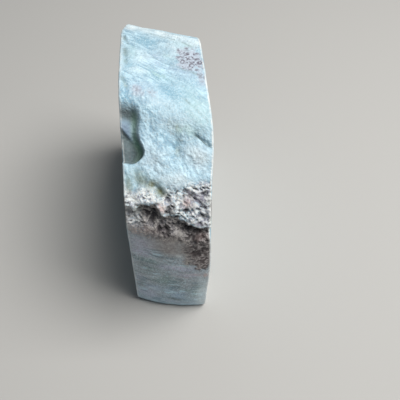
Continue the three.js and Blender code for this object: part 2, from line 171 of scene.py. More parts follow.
# Tints by name: ovals as path, across, half sizes, strength. Noise pushes their borders by this much at
# most.
TINT_PUSH = 1.1
TINTS = {
    "blue": [  # bluer stone
        (76.2, 1.4, 3.0, 2.4, 0.8), (114.8, -3.4, 3.6, 2.8, 1.0), (111.5, 0.5, 2.0, 2.0, 0.5),
        (96.6, -1.0, 1.3, 3.4, 0.9), (90.8, 1.8, 2.8, 3.4, 1.0), (84.9, -9.5, 4.0, 2.8, 1.0),
        (82.5, -3.5, 4.0, 3.0, 0.7), (74.8, 0.6, 3.8, 2.4, 1.0), (77.5, -0.8, 2.6, 2.0, 0.8),
        (100.0, -9.5, 3.0, 1.5, 0.6), (91.0, -11.0, 4.0, 1.2, 0.9), (71.4, 5.2, 2.2, 1.6, 0.4),
        (117.4, 10.5, 2.0, 1.6, 0.5), (65.5, -9.6, 2.0, 1.6, 0.4), (14.8, -6.5, 2.2, 3.4, 0.9),
        (11.8, 2.0, 3.0, 3.4, 0.8), (15.4, -1.0, 2.4, 2.6, 0.5), (32.6, -0.8, 1.2, 2.0, 0.7),
    ],
    "chalk": [  # chalky white, at the far end, the edges and on flakes; painted light where the crown and slope tilt away from the light, on the wall's right edge and on lit flakes
        (113.5, 3.5, 5.0, 4.5, 0.4), (81.5, 2.0, 3.5, 7.0, 0.25), (73.0, -5.2, 3.0, 2.4, 0.3),
        (25.0, 9.8, 3.0, 1.8, 0.5), (14.6, -6.6, 0.7, 2.2, 0.5), (40.0, 2.2, 1.3, 0.7, 0.8),
        (35.0, -5.0, 0.6, 3.0, 0.35), (33.5, 1.0, 0.9, 2.6, 0.3), (23.6, -5.0, 0.8, 2.6, 0.3),
        (66.0, 2.5, 2.0, 2.5, 0.7), (125.5, -9.0, 4.5, 3.0, 1.0), (126.0, -5.0, 4.0, 3.5, 1.0),
        (124.0, 1.0, 4.5, 4.0, 1.0), (121.5, 6.0, 4.5, 4.0, 0.85), (119.0, 10.0, 4.5, 2.6, 0.75),
        (113.0, -11.6, 6.0, 0.8, 0.4), (100.5, -11.6, 8.0, 0.7, 0.4), (105.0, -5.5, 4.0, 3.0, 0.5),
        (85.5, -1.5, 1.8, 4.5, 0.35), (57.5, -9.8, 3.2, 2.2, 0.85), (97.0, -7.0, 2.0, 2.5, 0.5),
        (87.0, 8.5, 5.0, 3.0, 0.15), (73.8, 8.3, 3.6, 3.2, 0.7), (71.5, -3.5, 3.0, 3.5, 0.35),
        (66.5, 0.5, 1.8, 4.0, 0.5), (69.5, -2.0, 2.0, 4.0, 0.3), (14.0, 11.8, 12.0, 3.2, 1.0),
        (15.5, 10.4, 8.0, 1.8, 0.85),
    ],
    "mint": [  # greener stone
        (80.4, 6.0, 1.6, 3.0, 0.7), (79.8, 3.0, 1.2, 1.1, 0.9), (88.0, 8.0, 8.0, 4.0, 0.5),
        (116.9, 7.5, 2.5, 3.5, 0.5), (108.5, 1.5, 1.5, 2.5, 0.6), (97.5, -1.5, 2.2, 4.0, 0.6),
        (106.9, -9.0, 5.0, 1.5, 0.4), (66.4, -8.0, 2.0, 3.0, 0.5), (15.6, 8.4, 4.4, 2.2, 1.0),
        (15.8, 5.6, 1.0, 2.4, 1.0), (33.0, -6.0, 1.5, 3.6, 1.0), (29.0, -6.2, 1.6, 3.4, 0.9),
        (22.5, -2.2, 3.6, 3.4, 0.9), (25.5, -7.5, 1.0, 2.8, 0.6),
    ],
    "lilac": [  # stone with a lilac cast
        (106.3, -1.2, 4.0, 2.2, 0.8), (102.0, 5.5, 3.0, 5.0, 0.7), (89.5, -6.0, 3.0, 3.5, 0.7),
        (74.0, -4.7, 4.5, 2.8, 0.35), (73.0, 7.8, 4.0, 3.0, 0.2), (98.5, 10.5, 3.0, 1.5, 0.7),
        (42.5, -7.8, 4.6, 4.0, 1.0), (37.5, -8.5, 2.6, 3.2, 0.8), (32.2, 1.6, 2.2, 5.0, 0.9),
        (9.5, -8.0, 3.4, 3.4, 1.0), (28.0, 5.5, 2.0, 3.6, 0.7), (7.2, 2.0, 1.6, 6.0, 0.6),
        (19.0, -10.5, 3.0, 2.0, 0.6),
    ],
    "frost": [  # sugary crystals that stand out
        (30.0, 0.0, 20.0, 12.0, 0.45), (71.0, -2.0, 5.5, 6.0, 1.0), (72.5, 7.5, 5.0, 4.0, 0.9),
        (80.0, -1.0, 4.0, 5.0, 0.7), (78.0, 3.5, 4.0, 2.5, 0.9), (66.0, -9.0, 3.0, 3.0, 0.8),
        (87.0, -5.0, 3.0, 4.0, 0.4),
    ],
    "olive": [  # olive stains at the foot of the slope and on it
        (74.0, 2.7, 1.3, 0.8, 0.5), (80.3, 2.5, 1.1, 0.6, 0.45), (76.8, 3.6, 0.8, 0.6, 0.35),
        (81.5, 1.0, 0.8, 0.5, 0.3), (65.8, -7.0, 1.7, 2.2, 0.8), (64.6, -4.4, 1.4, 2.4, 1.0),
        (62.9, -2.0, 1.5, 1.5, 1.0), (64.5, -10.6, 2.2, 1.0, 0.8), (79.6, 1.6, 1.8, 1.4, 0.16),
        (77.0, 2.9, 1.4, 0.8, 0.22), (74.0, 3.0, 1.4, 0.9, 0.22), (85.0, 1.0, 1.0, 1.2, 0.1),
        (67.3, -7.6, 1.2, 1.8, 0.5), (58.0, -8.6, 2.4, 1.6, 0.4),
    ],
    "rust": [  # pink to rusty stains
        (87.7, -7.3, 1.8, 1.7, 0.12), (87.5, -3.2, 1.4, 1.4, 0.08), (58.6, -2.4, 1.1, 1.2, 0.9),
        (60.4, 4.8, 1.3, 1.1, 1.0), (51.3, -6.3, 1.2, 2.4, 0.3), (28.6, 10.7, 1.4, 0.9, 0.9),
        (28.4, 7.6, 0.8, 2.8, 0.45), (26.2, 3.6, 0.8, 2.4, 0.25), (49.8, -9.6, 1.6, 1.4, 0.35),
        (50.5, 8.5, 1.2, 1.6, 0.3),
    ],
    "mauve": [  # mauve matrix on the belt
        (61.4, 7.9, 2.2, 2.7, 1.0), (60.2, 0.2, 1.4, 1.2, 0.7), (65.5, 9.5, 1.6, 1.2, 0.4),
        (63.0, 5.0, 0.8, 1.0, 0.6), (56.0, 7.4, 1.1, 2.2, 0.8), (59.0, 9.6, 1.4, 1.6, 0.5),
        (57.0, -9.5, 2.0, 1.6, 0.4), (62.5, -9.5, 1.0, 1.5, 0.4),
    ],
    "dark": [  # darker soil, and painted shade in the recess under the crest
        (56.2, -5.9, 2.3, 2.3, 0.1), (51.6, -2.3, 1.6, 1.5, 0.9), (52.4, -1.6, 2.2, 1.7, 1.0),
        (52.5, 5.0, 1.2, 2.4, 1.0), (53.2, 8.2, 1.0, 2.0, 0.9), (43.5, 8.3, 5.0, 3.8, 1.0),
        (36.5, 9.0, 4.0, 2.6, 1.0), (49.5, 9.0, 2.0, 2.5, 0.6), (31.5, 10.2, 3.0, 1.6, 0.8),
        (54.0, 0.0, 1.5, 3.0, 0.25), (51.5, -7.5, 1.6, 2.4, 0.35),
    ],
    "smudge": [  # grey smudges and short level streaks, and painted shade in the dip in the middle of the slope
        (123.8, -9.8, 0.8, 1.5, 0.7), (115.0, -10.9, 1.4, 0.6, 0.6), (107.0, -10.8, 2.2, 0.6, 0.5),
        (9.8, 1.2, 1.1, 2.4, 1.0), (74.8, 0.2, 3.0, 1.8, 0.2), (7.6, 5.4, 0.7, 2.0, 0.5),
        (16.0, -10.0, 2.6, 1.5, 0.6), (30.6, -9.0, 1.6, 1.4, 0.6), (32.2, -5.8, 0.5, 2.6, 0.6),
        (29.4, -6.8, 0.5, 2.2, 0.5), (26.6, -6.8, 0.5, 2.2, 0.5), (23.4, 2.6, 0.6, 1.0, 0.7),
        (20.3, 7.4, 0.7, 1.3, 0.7), (15.8, 5.6, 0.5, 1.8, 0.4), (24.0, -1.5, 0.8, 1.2, 0.3),
        (29.8, 3.6, 0.5, 2.2, 0.35), (37.0, -4.0, 0.6, 1.8, 0.4), (44.0, 3.6, 2.0, 0.8, 0.4),
        (39.6, 4.2, 1.6, 0.7, 0.4), (38.6, 0.4, 0.5, 1.6, 0.4), (46.2, -1.6, 0.5, 1.4, 0.5),
        (44.2, 0.2, 1.2, 0.5, 0.4),
    ],
}

# Fine lines: slant, length and width.
CROWN_LINES, SLOPE_LINES, WALL_LINES = (0.55, 2.2, 0.5), (2.2, 1.3, 0.55), (0.05, 3.2, 0.6)

# Mesh spacing: columns along the rim as (zone end, step), rows across it, rings from each edge to the
# centre.
COLUMN_ZONES = [(33.0, 0.4), (86.0, 0.22), (130.0, 0.3), (HEEL_PATH, 0.6), (math.inf, 2.5)]
RIM_ROWS = 104
BEVEL_ROWS = (0.3, 0.65, 1.0)
FACE_RINGS = (0.0, 0.012, 0.035, 0.08, 0.15, 0.24, 0.35, 0.47, 0.6, 0.74, 0.88)
SLOPE_REACH = 0.8  # the rim's slope is taken over this path either way
LEFT_WEAR_AND_HIGHLIGHT = 0.45  # how pale the left edge's wear and painted highlight are, next to the right edge, which faces the light


# ---- Numbers over whole arrays ----
def smooth(low, high, value):
    """0 before low and 1 past high, eased as 3t^2 - 2t^3 between them, also where high is the smaller."""
    t = np.clip((value - low) / (high - low), 0.0, 1.0)
    return t * t * (3.0 - 2.0 * t)


def bell(distance):
    """exp(-distance^2): 1 in the middle, near 0 from about twice the unit distance."""
    return np.exp(-distance * distance)


def lattice_value(i, j, k, seed):
    """A repeatable number from 0 to 1 for each whole-number lattice point: its coordinates multiplied,
    xored and shifted."""
    h = np.uint32(seed)
    with np.errstate(over="ignore"):
        for axis, factor in (i, 0x1B873593), (j, 0x85EBCA6B), (k, 0xC2B2AE35):
            h = h ^ (axis.astype(np.uint32) * np.uint32(factor))
        for shift, factor in (15, 0x2C1B3C6D), (12, 0x297A2D39):
            h = (h ^ (h >> np.uint32(shift))) * np.uint32(factor)
    return (h ^ (h >> np.uint32(15))) / 2.0**32


def noise(points, size, seed):
    """Smooth noise from -1 to 1: the eight lattice values round each point, blended with eased weights."""
    scaled = points / size
    cell = np.floor(scaled)
    ease = smooth(0.0, 1.0, scaled - cell)
    cell = cell.astype(np.int64)
    total = 0.0
    for corner in range(8):
        step = np.array([corner & 1, corner >> 1 & 1, corner >> 2])
        weight = np.prod(np.where(step, ease, 1.0 - ease), axis=-1)
        at = cell + step
        total = total + weight * lattice_value(at[..., 0], at[..., 1], at[..., 2], seed)
    return 2.0 * total - 1.0


def layered_noise(points, size, seed, layers=3):
    """Noise summed over layers, each half the size and half the height of the one before."""
    return sum(noise(points, size / 2**n, seed + 31 * n) / 2**n for n in range(layers))


def nearest_centre(points, size, seed):
    """Distance, in cells, from each point to the nearest of scattered centres, one to a cell."""
    scaled = points / size
    cell = np.floor(scaled).astype(np.int64)
    nearest = np.full(points.shape[:-1], np.inf)
    for step in np.ndindex(3, 3, 3):
        at = cell + (np.array(step) - 1)
        i, j, k = at[..., 0], at[..., 1], at[..., 2]
        inside = [lattice_value(i, j, k, seed + 7 * axis) for axis in range(3)]
        nearest = np.minimum(nearest, np.linalg.norm(at + np.stack(inside, axis=-1) - scaled, axis=-1))
    return nearest


# ---- The rim's two outlines ----
def station_knots():
    """Path lengths at the stations: running sums of the mean distance between neighbours on the two
    outlines."""
    following = np.roll(STATIONS, -1, axis=0)
    left = np.hypot(*(following[:, 0:2] - STATIONS[:, 0:2]).T)
    right = np.hypot(*(following[:, 2:4] - STATIONS[:, 2:4]).T)
    return np.concatenate([[0.0], np.cumsum((left + right) / 2)])


KNOTS = station_knots()
RIM_LENGTH = KNOTS[-1]


def through_stations(path):
    """All six station values at each path length, on closed cubic curves whose slopes blend their
    neighbours'."""
    spans = np.diff(KNOTS)
    before = np.roll(spans, 1)
    rise_in = (STATIONS - np.roll(STATIONS, 1, axis=0)) / before[:, None]
    rise_out = np.roll(rise_in, -1, axis=0)
    slopes = (rise_in * spans[:, None] + rise_out * before[:, None]) / (before + spans)[:, None]
    path = np.mod(path, RIM_LENGTH)
    index = np.clip(np.searchsorted(KNOTS, path, side="right") - 1, 0, len(STATIONS) - 1)
    after = (index + 1) % len(STATIONS)
    span = spans[index][..., None]
    t = (path - KNOTS[index])[..., None] / span
    start_slope = (t**3 - 2 * t**2 + t) * span * slopes[index]
    end_slope = (t**3 - t**2) * span * slopes[after]
    start = (2 * t**3 - 3 * t**2 + 1) * STATIONS[index]
    end = (3 * t**2 - 2 * t**3) * STATIONS[after]
    return start + end + start_slope + end_slope


def between_outlines(path, share):
    """Depth and height of the plain rim: the left outline at share 0, the right one at share 1, mixed
    between."""
    values = through_stations(path)
    return values[..., 0:2] * (1.0 - share[..., None]) + values[..., 2:4] * share[..., None]


# ---- Relief of the rim ----
def eased_steps(steps, value):
    """Sum of steps (from, to, rise), each eased from 0 to its rise."""
    return sum(rise * smooth(start, end, value) for start, end, rise in steps)


def bumps(places, value):
    """Sum of bumps (middle, half width, rise), each a bell."""
    return sum(rise * bell((value - middle) / half) for middle, half, rise in places)


def crest_path(across):
    """Where the belt's crest runs: level on the left but for a notch, one eased step down left of the
    middle, and a long one right."""
    return CREST_LEVEL + eased_steps(CREST_STEPS, across) + bumps(CREST_NOTCHES, across)


def oval_distance(place, path, across):
    """Distance from the middle of an oval place (path, across, half sizes, ...), in its half sizes."""
    return np.hypot((path - place[0]) / place[2], (across - place[1]) / place[3])


def groove_distance(groove, path, across):
    """Distance from the straight line between a groove's two ends, in its half widths."""
    run_path, run_across = groove[2] - groove[0], groove[3] - groove[1]
    rel_path, rel_across = path - groove[0], across - groove[1]
    t = np.clip((rel_path * run_path + rel_across * run_across) / (run_path**2 + run_across**2), 0.0, 1.0)
    return np.hypot(rel_path - t * run_path, rel_across - t * run_across) / groove[4]


def ragged_patches(places, path, across, ragged):
    """The strongest of oval places (path, across, half sizes, strength), whose borders noise makes
    ragged."""
    shares = [place[4] * smooth(1.2, 0.6, oval_distance(place, path, across) + ragged) for place in places]
    return np.max(shares, axis=0)


def hollow_form(path, across):
    """Depth of the left hollow: a gully under a curved right wall, a floor that rises to the left edge, a
    sharp lower lip round the corner, a steep head and a slanting ledge; and the shares of hollow, ledge and
    gully."""
    wall = HOLLOW_WALL + bumps(HOLLOW_BULGES, path) + eased_steps(HOLLOW_TURNS, path)
    upper = smooth(*HOLLOW_UPPER, path)
    corner = HOLLOW_CORNER * (1.0 + 0.4 * upper)
    past_wall = np.maximum(across - wall + corner, 0.0)
    past_lip = np.maximum(HOLLOW_LIP + HOLLOW_CORNER - path, 0.0)
    inside = 1.0 - smooth(0.7 - 0.3 * upper, 1.1, np.hypot(past_wall / corner, past_lip / HOLLOW_CORNER))
    share = inside * smooth(HOLLOW_HEAD, HOLLOW_FLOOR_END, path)
    floor = HOLLOW_DEPTH * (1.0 - 0.36 * upper) * (1.0 - 0.45 * smooth(1.0, 5.0, wall - across))
    past_line = path - LEDGE_PATH - LEDGE_SLOPE * (across - LEDGE_X)
    ledge = inside * smooth(-0.4, 0.3, past_line) * smooth(80.6, 78.2, path)
    ledge = ledge * (1.0 - eased_steps(LEDGE_FADES, across))
    gully = inside * bell((across - wall + GULLY_OUT) / GULLY_HALF)
    gully = gully * (0.4 + 0.6 * smooth(71.0, 75.0, path)) * smooth(83.0, 80.5, path)
    return share * floor - LEDGE_RISE * ledge, share, ledge, gully


def crease_form(path, across):
    """Height of the right crease: the lobe under it ends in a sharp drop, and the far side rises slowly again
    to a low bulge. Also the share of painted shade along the crease line."""
    up = path - CREASE_TOP + CREASE_FALL * smooth(CREASE_FROM, CREASE_TO, across)
    amount = smooth(5.6, 8.0, across) * (1.0 - 0.5 * smooth(9.6, 11.2, across))
    valley = smooth(-0.5, 0.1, up) * np.exp(-np.maximum(up, 0.0) / CREASE_FADE)
    bulge = bell((up - BULGE_ABOVE) / BULGE_HALF) * smooth(3.5, 9.0, across)
    return BULGE_RISE * bulge - CREASE_DEPTH * amount * valley, amount * bell((up + 0.1) / CREASE_SHADE_HALF)


def crest_form(path, across, point):
    """Rise of the belt's crest, which fades up the slope and drops steeply on the wall side to an undercut,
    and the distance up the rim from the crest."""
    up = path - crest_path(across) + 0.6 * noise(point, 1.8, 12) + 0.35 * noise(point, 0.9, 13)
    rise = np.where(up > 0, bell(up / CREST_FADE), 1.0 - smooth(0.0, CREST_DROP, -up))
    recess = UNDERCUT_DEPTH * (1.0 - bumps(UNDERCUT_SHALLOWS, across)) * (1.0 + 0.5 * noise(point, 2.4, 14))
    return CREST_RISE * rise - recess * bell((up + UNDERCUT_BELOW) / UNDERCUT_HALF), up


def slanted(path, across, slant, length, width, bend, depth=0.0):
    """Places for noise that is drawn out along lines falling slant millimetres down the rim for each one to
    the right: the way along them over a length, the way across them over a width and plus a bend, and a
    depth."""
    run = (across - slant * path) / length
    return np.stack([run, (path + slant * across) / width + bend, depth + np.zeros_like(run)], axis=-1)


def knob_form(path, across, point):
    """Froth, high on sharp walls and low in round cells: 0.8 less the size of smooth noise, drawn out down
    to the right, and half the size of finer noise."""
    bend = 0.5 * noise(point, 2.6, 24)
    length = KNOB_SCALE * KNOB_STRETCH
    place = slanted(path, across, KNOB_SLANT, length, KNOB_SCALE, bend, 0.5 * point[..., 1])
    return 0.8 - np.abs(noise(place, KNOB_SIZE, 23)) - 0.5 * np.abs(noise(place, KNOB_SIZE / 2, 27))


def belt_zones(path, across, up, on_back, point):
    """Shares of the belt's parts: lumps above the crest as far as a wavering reach, matrix that hangs below
    it, a pale apron at the lower left, and scattered matrix on the back."""
    waver = 1.2 * noise(point, 4.0, 11)
    reach = BELT_REACH + eased_steps(BELT_WIDENINGS, across)
    above = smooth(-0.3, 0.6, up) * (1.0 - smooth(reach - 2.5, reach + 1.0, up + waver))
    below = smooth(-9.0, -6.5, up + waver) * smooth(0.2, -0.6, up)
    apron = smooth(-7.0, -8.6, across + 0.8 * waver) * smooth(50.5, 54.0, path + waver)
    apron = apron * smooth(0.6, -0.6, up)
    scattered = 0.7 * on_back * smooth(0.1, 0.5, noise(point, 14.0, 4))
    return above, below, apron, scattered


def tint_masks(path, across, point):
    """For each tint the strongest of its oval patches at each point. Noise pushes the patches' borders
    about, less where a patch is small."""
    shift = noise(point, 3.5, 61)
    other_shift = noise(point, 3.5, 62)
    masks = {}
    for name, patches in TINTS.items():
        masks[name] = np.zeros_like(path)
        for place in patches:
            push = min(TINT_PUSH, 0.5 * min(place[2], place[3]))
            distance = oval_distance(place, path + push * shift, across + push * other_shift)
            masks[name] = np.maximum(masks[name], place[4] * bell(distance))
    return masks


def wisps(path, across, point):
    """Streaks from 0 to 1: noise drawn out down to the right over the crown and slope, and level on the
    wall."""
    level = 1.0 - smooth(50.0, 66.0, path)
    bend = 0.8 * noise(point, 4.0, 71)
    place = slanted(path, across, 0.8 * (1.0 - level), 5.0 + 3.0 * level, 1.7 - 0.6 * level, bend)
    return np.clip(0.5 + 0.55 * layered_noise(place, 1.0, 72), 0.0, 1.0)


def line_noise(path, across, point, slant, length, width):
    """Noise drawn out along lines of a slant, a length and a width."""
    scale = math.hypot(1.0, slant)
    bend = 1.3 * noise(point, 2.6, 74)
    return layered_noise(slanted(path, across, slant, scale * length, scale * width, bend), 1.0, 75, layers=2)


def streaks(path, across, point):
    """Fine lines from 0 to 1: down to the right on the crown, steeper on the slope and level on the
    wall."""
    crown = smooth(86.0, 93.0, path)
    wall = smooth(58.0, 48.0, path)
    lines = 0.0
    for zone, line in ((crown, CROWN_LINES), (wall, WALL_LINES), (1.0 - crown - wall, SLOPE_LINES)):
        lines = lines + zone * line_noise(path, across, point, *line)
    strength = smooth(-0.5, 0.6, noise(point, 5.0, 76))
    return np.clip(0.5 + 0.75 * strength * lines, 0.0, 1.0)


def soil_share(path, across, up, point, crumbly, knobs):
    """How much brown matrix shows: all of it under the crest, thinning down the wall and to the left, a
    tongue down the right of the wall, and the froth's cells in the belt."""
    under = smooth(0.3, -0.8, up)
    thin = smooth(46.5, 51.0, path + 1.6 * noise(point, 3.0, 81)) * under
    left = 0.6 + 0.4 * smooth(-9.5, -6.5, across + 1.2 * noise(point, 2.5, 82))
    right = smooth(1.5, 5.0, across + 1.5 * noise(point, 3.0, 83))
    tongue = smooth(33.5, 37.0, path + 1.5 * noise(point, 2.0, 84)) * under * right
    cells = crumbly * smooth(0.27, 0.04, knobs + 0.16 * noise(point, 3.0, 85))
    return np.clip(np.max([thin * left, tongue, 0.85 * cells], axis=0), 0.0, 1.0)


def relief(path, across, share, point):
    """Outward displacement of the rim as a sum of bow, unevenness, crest, lumps, swells, grooves, crease,
    hollow, pits, holes, grain, fine lines and crystals, and the masks that its colours follow."""
    past_crown = smooth(FAR_PATH - 2.0, FAR_PATH + 6.0, path)
    on_back = past_crown * smooth(HEEL_PATH, HEEL_PATH - 8.0, path)
    on_wall = smooth(BROW_PATH + 4.0, BROW_PATH - 4.0, path)
    height = 4.0 * share * (1.0 - share) * np.maximum(WALL_BOW * on_wall, BACK_BOW * on_back)
    for size, seed, rise, back_rise in UNEVENNESS:
        height += (rise + back_rise * on_back) * noise(point, size, seed)

    crest, up = crest_form(path, across, point)
    above, below, apron, scattered = belt_zones(path, across, up, on_back, point)
    lumpy = np.max([above, below, 0.7 * apron, scattered], axis=0)
    lump = LUMP_LEVEL - nearest_centre(point, LUMP_CELL, 3)
    knobs = knob_form(path, across, point)
    left_crest = smooth(-0.5, -3.0, across)
    knob_height = KNOB_HEIGHT * (1.0 - SMALL_KNOBS * left_crest * smooth(0.0, 1.0, up))
    height += crest + lumpy * (LUMP_HEIGHT * lump + knob_height * (knobs - KNOB_LEVEL))

    for place in SWELLS:
        height += place[4] * bell(oval_distance(place, path, across))
    lined = np.zeros_like(path)
    for groove in GROOVES:
        grooved = bell(groove_distance(groove, path, across))
        height -= groove[5] * grooved
        lined += groove[6] * grooved
    crease, creased = crease_form(path, across)
    hollow, hollowed, ledge, gully = hollow_form(path, across)
    height += crease - hollow

    pitted = np.zeros_like(path)
    ragged = 0.4 * noise(point, 1.3, 17) + 0.3 * noise(point, 0.7, 18)
    for place in PITS:
        pit = bell(np.maximum(oval_distance(place, path, across) + ragged, 0.0) ** 1.5)
        height -= place[4] * pit
        pitted = np.maximum(pitted, pit)
    holed = ragged_patches(HOLE_PATCHES, path, across, ragged)
    holes = holed * smooth(0.55, 0.2, nearest_centre(point, HOLE_CELL, 5))
    height -= HOLE_DEPTH * holes

    tints = tint_masks(path, across, point)
    streak = streaks(path, across, point)
    on_top = smooth(60.0, 68.0, path) * (1.0 - past_crown)
    streak_height = STREAK_HEIGHT * (SLOPE_STREAKS + (1.0 - SLOPE_STREAKS) * smooth(82.0, 92.0, path))
    crystals = FROST_HEIGHT * tints["frost"] * layered_noise(point, FROST_SIZE, 43)
    height += (GRAIN_HEIGHT + LUMP_GRAIN * lumpy) * layered_noise(point, GRAIN_SIZE, 41)
    height += on_top * (streak_height * (streak - 0.5) + crystals)

    cream_level = knobs + 0.2 * noise(point, 3.0, 51) + 0.15 * left_crest
    grey_band = smooth(38.0, 43.0, path + 1.5 * noise(point, 4.0, 86)) * smooth(53.0, 50.0, path)
    masks = {
        **tints,
        # the darker soil, and painted shade in the cells between the froth's knobs above the crest
        "dark": np.maximum(tints["dark"], 0.8 * above * smooth(0.25, 0.08, knobs)),
        "cream": np.maximum(above, 0.6 * apron) * smooth(0.0, 0.24, cream_level),
        "soil": soil_share(path, across, up, point, np.max([above, apron, scattered], axis=0), knobs),
        "froth": np.clip(knobs, 0.0, 1.0),
        "pit": pitted,
        "ringed": ragged_patches(RING_PATCHES, path, across, ragged),
        "holed": holed,
        "holes": holes,
        "hollow": np.clip(1.6 * hollowed, 0.0, 1.0) * (1.0 - 0.85 * ledge),
        "ledge": ledge,
        "gully": gully,
        "creased": creased,
        "grey": grey_band * bell((across + 0.5) / 6.0),
        "wisp": wisps(path, across, point),
        "streak": streak,
        "dull": smooth(58.0, 50.0, path) * smooth(-2.0, 18.0, path + 3.0 * noise(point, 6.0, 63)),
        "line": lined,
    }
    near_base = smooth(0.0, 3.0, path) * smooth(HEEL_PATH, HEEL_PATH - 4.0, path)
    return height * near_base, masks


# ---- The closed surface ----
def column_paths():
    """Path lengths of the columns: even steps in each zone."""
    paths, start = [], 0.0
    for end, step in COLUMN_ZONES:
        end = min(end, RIM_LENGTH)
        paths.append(np.linspace(start, end, round((end - start) / step), endpoint=False))
        start = end
    return np.concatenate(paths)


def rim_points(path, share):
    """Points of the rim, and their masks: the plain rim moved along its outward normal by the relief."""
    values = through_stations(path)
    left = LEFT_FACE + np.maximum(values[..., 4], 0.0) + EDGE_BEVEL
    right = RIGHT_FACE - np.maximum(values[..., 5], 0.0) - EDGE_BEVEL
    across = left + (right - left) * share
    plain = between_outlines(path, share)
    along = between_outlines(path + SLOPE_REACH, share) - between_outlines(path - SLOPE_REACH, share)
    along /= np.linalg.norm(along, axis=-1, keepdims=True)
    point = np.stack([across, plain[..., 0], plain[..., 1]], axis=-1)
    height, masks = relief(path, across, share, point)
    height = np.where(path > HEEL_PATH, 0.0, height)
    depth = plain[..., 0] - along[..., 1] * height
    level = np.maximum(plain[..., 1] + along[..., 0] * height, 0.0)
    return np.stack([across, depth, level], axis=-1), masks


def face_rings(edge, paths, side):
    """Rings in a sawn face: each edge point moved towards the face's centre, the spalled edge fading
    inward."""
    plane = LEFT_FACE if side < 0 else RIGHT_FACE
    spall = np.maximum(through_stations(paths)[:, 4 if side < 0 else 5], 0.0)
    to_centre = np.array(FACE_CENTRE) - edge[:, 1:3]
    reach = np.linalg.norm(to_centre, axis=1)
    travel = EDGE_BEVEL + np.array(FACE_RINGS)[:, None] * (reach - EDGE_BEVEL)
    across = plane - side * spall * np.exp(-(travel - EDGE_BEVEL) / INSET_REACH)
    moved = edge[:, 1:3] + to_centre / reach[:, None] * travel[..., None]
    return np.concatenate([across[..., None], moved], axis=-1)


def bevel_rings(edge, ring):
    """Rings of a worn edge: a quarter round between the rim's last row and the sawn face's first ring."""
    angles = np.array(BEVEL_ROWS[:-1])[:, None, None] * math.pi / 2
    inward = 1.0 - np.cos(angles)
    return edge + (ring - edge) * np.concatenate([np.sin(angles), inward, inward], axis=-1)


def slab_surface():
    """Rings round the slab from the left face's centre over the rim to the right face's centre, the masks
    of the rim, and which rings those are."""
    paths = column_paths()
    share = np.linspace(0.0, 1.0, RIM_ROWS)
    rim, masks = rim_points(*np.meshgrid(paths, share))
    left = face_rings(rim[0], paths, -1)
    right = face_rings(rim[-1], paths, 1)
    left_bevel = bevel_rings(rim[0], left[0])[::-1]
    right_bevel = bevel_rings(rim[-1], right[0])
    grid = np.concatenate([left[::-1], left_bevel, rim, right_bevel, right])
    first = len(left) + len(left_bevel)
    return grid, masks, slice(first, first + RIM_ROWS)


def closed_mesh(name, grid, poles):
    """A mesh from rings of points joined round and from ring to ring, closed by fans on two poles."""
    vertices = np.concatenate([[poles[0]], grid.reshape(-1, 3), [poles[1]]])
    number = 1 + np.arange(len(vertices) - 2).reshape(grid.shape[:2])
    following = np.roll(number, -1, axis=1)
    corners = [number[:-1], number[1:], following[1:], following[:-1]]
    quads = np.stack(corners, axis=-1).reshape(-1, 4)
    first_fan = np.stack([np.zeros_like(number[0]), number[0], following[0]], axis=-1)
    last_pole = np.full_like(number[-1], len(vertices) - 1)
    last_fan = np.stack([following[-1], number[-1], last_pole], axis=-1)
    faces = quads.tolist() + first_fan.tolist() + last_fan.tolist()
    mesh = bpy.data.meshes.new(name)
    mesh.from_pydata(vertices * MM, [], faces)
    mesh.validate()
    mesh.shade_smooth()
    return mesh


def store_mask(mesh, name, grid_values):
    """Writes one value for each ring point as a vertex attribute; a pole takes its own ring's first
    value."""
    values = np.concatenate([[grid_values[0, 0]], grid_values.ravel(), [grid_values[-1, 0]]])
    mesh.attributes.new(name, "FLOAT", "POINT").data.foreach_set("value", values.astype(np.float32))


def spread_over_faces(values, rows, outside):
    """A rim mask carried on over the bevels and faded out over the first rings of each sawn face."""
    fade = smooth(len(BEVEL_ROWS) + 3, len(BEVEL_ROWS), outside)
    nearest = np.clip(np.arange(len(outside)) - rows.start, 0, rows.stop - rows.start - 1)
    return values[nearest] * fade[:, None]


def larimar_slab():
    """The whole stone as one closed piece with the masks of its colours. The sawn mask rises over the bevels,
    and the mask of pale wear and painted highlight lies along the edges, weaker on the left, away from the
    light."""
    grid, masks, rows = slab_surface()
    grid = grid - np.array([0.0, ORIGIN_DEPTH, 0.0])
    poles = [(plane, FACE_CENTRE[0] - ORIGIN_DEPTH, FACE_CENTRE[1]) for plane in (LEFT_FACE, RIGHT_FACE)]
    mesh = closed_mesh("larimar_stone", grid, poles)
    ring = np.arange(len(grid))
    outside = np.maximum(rows.start - ring, ring - (rows.stop - 1))
    bevel = len(BEVEL_ROWS)
    worn = smooth(-1.2, 0.5, outside) * smooth(bevel + 1, bevel - 1, outside)
    worn = np.where(ring < rows.start + 2, LEFT_WEAR_AND_HIGHLIGHT, 1.0) * worn
    masks = {name: spread_over_faces(values, rows, outside) for name, values in masks.items()}
    for name, values in {"sawn": smooth(0.0, bevel, outside), "worn": worn}.items():
        masks[name] = np.repeat(values[:, None], grid.shape[1], axis=1)
    for name, values in masks.items():
        store_mask(mesh, name, values)
    stone = bpy.data.objects.new("larimar_stone", mesh)
    bpy.context.scene.collection.objects.link(stone)
    return stone


stone = larimar_slab()

# ---- Finishes ----
# The pale stone, its grain and its tints.
PALE = (0.38, 0.565, 0.67)
WHITE = (0.485, 0.69, 0.80)
